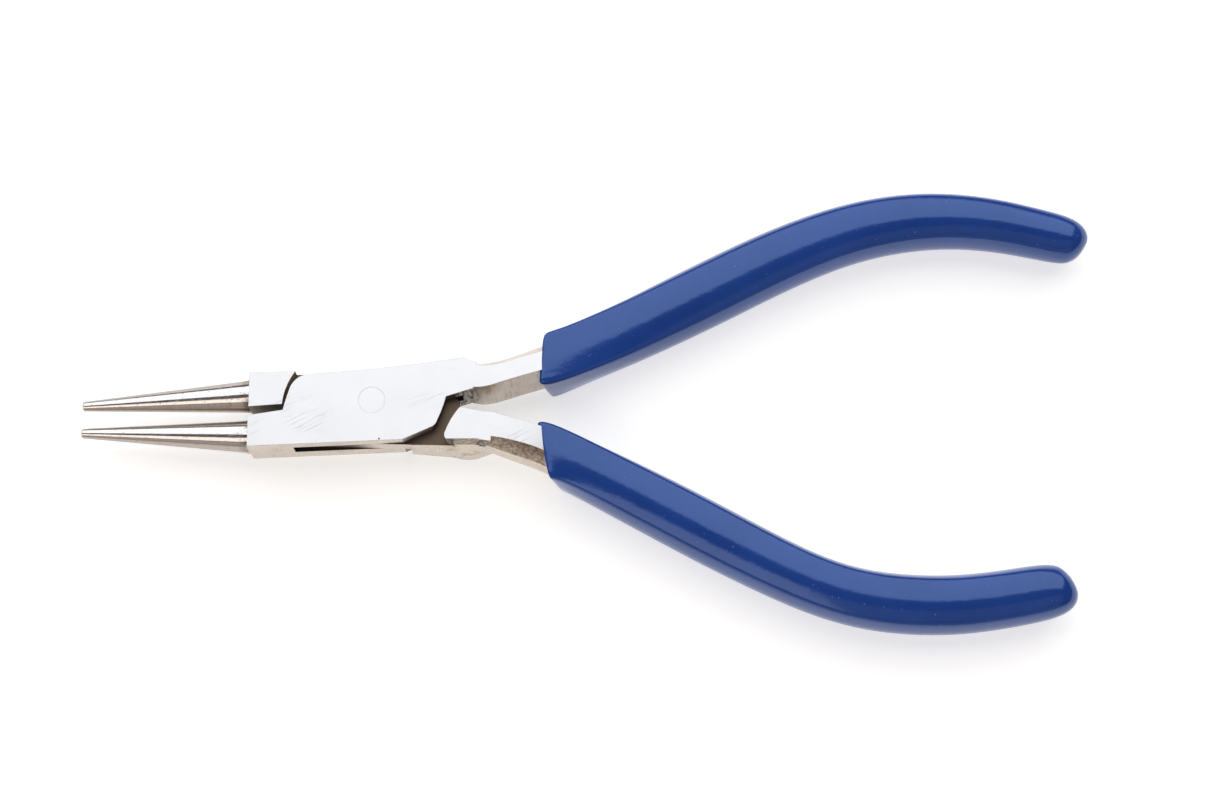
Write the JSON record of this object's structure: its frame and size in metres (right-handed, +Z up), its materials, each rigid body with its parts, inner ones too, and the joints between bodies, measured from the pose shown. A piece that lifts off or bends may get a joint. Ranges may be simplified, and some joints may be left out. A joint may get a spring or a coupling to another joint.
{
  "type": "round nose pliers",
  "caption": "Jeweller's round nose pliers with smooth conical jaws, a box joint and blue dipped grips, lying flat with the jaws slightly open",
  "frame": {"origin": "on the pivot axis, in the plane of the joint's flat underside", "axes": "+X runs from the jaws to the handles, +Y towards the box half's handle, +Z up out of the joint's flat top"},
  "size_m": [0.1307, 0.0585, 0.0085],
  "materials": {
    "polished_steel": "ground flat and polished, faint diagonal scratches",
    "rivet_steel": "ground flush with the joint",
    "blue_dip": "glossy royal blue dipped vinyl"
  },
  "bodies": {
    "box_side": {"box_half": "polished_steel", "pivot_rivet": "rivet_steel", "upper_grip": "blue_dip"},
    "inner_side": {"inner_half": "polished_steel", "lower_grip": "blue_dip"}
  },
  "joints": [
    {"name": "pivot", "type": "hinge", "parent": "box_side", "child": "inner_side", "pos_m": [0, 0, 0.00425], "axis": [0, 0, -1], "range_deg": [-3.4, 25]}
  ]
}
